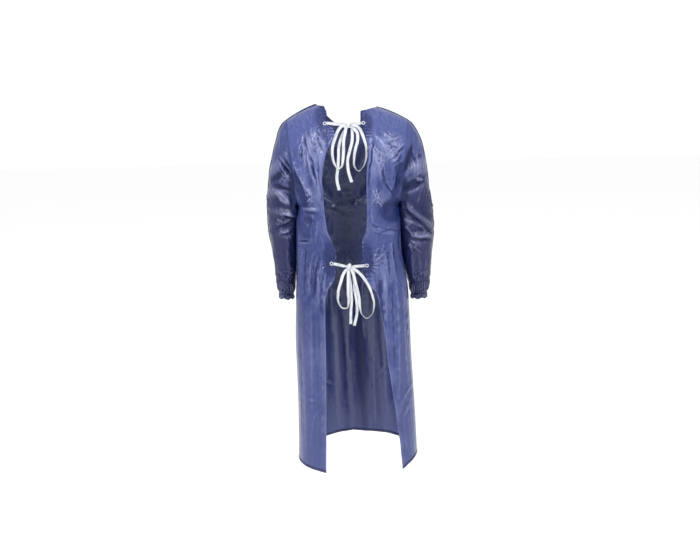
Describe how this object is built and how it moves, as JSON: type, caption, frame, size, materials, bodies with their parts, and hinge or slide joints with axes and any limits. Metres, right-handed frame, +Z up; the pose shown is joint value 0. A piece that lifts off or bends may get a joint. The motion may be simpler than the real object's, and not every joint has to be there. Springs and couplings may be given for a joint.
{
  "type": "sleeved chemical apron",
  "caption": "Long sleeved protective apron of glossy blue film in its worn form: closed front, open back tied with white tapes at neck and waist, elastic cuffs.",
  "frame": {"origin": "point in the wearer's neck, midway between the shoulders and level with the tops of the shoulder seams, from which the worn garment hangs", "axes": "+Z up; the garment's front faces -Y and its open back +Y; the wearer's left is +X"},
  "size_m": [0.5884, 0.3027, 1.2795],
  "materials": {
    "body_film": "glossy, slightly see-through blue film",
    "sleeve_film": "glossy blue film, darker and more purple",
    "hem_film": "folded and welded film edge",
    "woven_tape": "flat woven white tape"
  },
  "bodies": {
    "root": {"front_panel": "body_film", "back_panel_left": "body_film", "back_panel_right": "body_film", "weld_left": "body_film", "weld_right": "body_film", "sleeve_left": "sleeve_film", "sleeve_right": "sleeve_film", "cuff_left": "sleeve_film", "cuff_right": "sleeve_film", "hem_front": "hem_film", "hem_back_left": "hem_film", "hem_back_right": "hem_film", "neck_ring_left": "woven_tape", "neck_ring_right": "woven_tape", "waist_ring_left": "woven_tape", "waist_ring_right": "woven_tape", "neck_knot": "woven_tape", "waist_knot": "woven_tape", "neck_lead_left": "woven_tape", "neck_lead_right": "woven_tape", "neck_loop_left": "woven_tape", "neck_loop_right": "woven_tape", "neck_tail_left": "woven_tape", "neck_tail_right": "woven_tape", "waist_lead_left": "woven_tape", "waist_lead_right": "woven_tape", "waist_loop_left": "woven_tape", "waist_loop_right": "woven_tape", "waist_tail_left": "woven_tape", "waist_tail_right": "woven_tape"}
  },
  "joints": []
}
